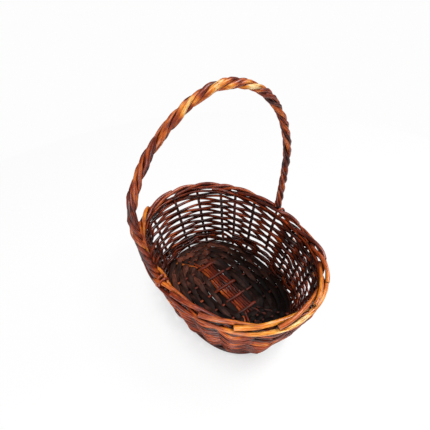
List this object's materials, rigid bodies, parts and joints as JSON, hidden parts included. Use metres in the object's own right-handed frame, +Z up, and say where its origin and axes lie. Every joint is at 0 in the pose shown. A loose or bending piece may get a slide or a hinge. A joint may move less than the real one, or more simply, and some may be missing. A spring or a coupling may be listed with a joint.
{
  "type": "basket",
  "caption": "Oval woven willow foraging basket with a fixed roped hoop handle, a laid rod border and a flat foot ring.",
  "frame": {"origin": "middle of the footprint, on the surface that the foot ring stands on", "axes": "+Z up through the mouth to the handle's top, +X along the basket's length, the handle stands across it in the plane X = 0"},
  "size_m": [0.3775, 0.3006, 0.4013],
  "materials": {
    "base_weave": "boiled willow rods, bark on, satin",
    "outer_rod": "boiled willow, bark on, satin",
    "foot_rod": "boiled willow rods, bark on, satin",
    "handle_rods": "boiled willow, bark on, satin, worn pale in places",
    "lashing_rods": "thin dark red willow, satin",
    "stick_strips": "split willow, satin",
    "stake_rods": "boiled willow rods, bark on, satin",
    "row_rods": "boiled willow rods, bark on, satin"
  },
  "bodies": {
    "root": {"base_row_01": "base_weave", "base_row_02": "base_weave", "base_row_03": "base_weave", "base_row_04": "base_weave", "base_row_05": "base_weave", "base_row_06": "base_weave", "base_row_07": "base_weave", "base_row_08": "base_weave", "base_row_09": "base_weave", "border_outer_rod": "outer_rod", "foot_ring": "foot_rod", "handle_bow": "handle_rods", "handle_strand_1": "handle_rods", "handle_strand_2": "handle_rods", "handle_strand_3": "handle_rods", "handle_strand_4": "handle_rods", "lashing_back": "lashing_rods", "lashing_front": "lashing_rods", "long_stick_1": "stick_strips", "long_stick_2": "stick_strips", "long_stick_3": "stick_strips", "long_stick_4": "stick_strips", "long_stick_5": "stick_strips", "long_stick_6": "stick_strips", "short_bar_1": "stake_rods", "short_bar_2": "stake_rods", "short_bar_3": "stake_rods", "short_bar_4": "stake_rods", "short_bar_5": "stake_rods", "side_row_01": "row_rods", "side_row_02": "row_rods", "side_row_03": "row_rods", "side_row_04": "row_rods", "side_row_05": "row_rods", "side_row_06": "row_rods", "side_row_07": "row_rods", "side_row_08": "row_rods", "side_row_09": "row_rods", "side_row_10": "row_rods", "side_row_11": "row_rods", "side_row_12": "row_rods", "stake_01": "stake_rods", "stake_02": "stake_rods", "stake_03": "stake_rods", "stake_04": "stake_rods", "stake_05": "stake_rods", "stake_06": "stake_rods", "stake_07": "stake_rods", "stake_08": "stake_rods", "stake_09": "stake_rods", "stake_10": "stake_rods", "stake_11": "stake_rods", "stake_12": "stake_rods", "stake_13": "stake_rods", "stake_14": "stake_rods", "stake_15": "stake_rods", "stake_16": "stake_rods", "stake_17": "stake_rods", "stake_18": "stake_rods"}
  },
  "joints": []
}
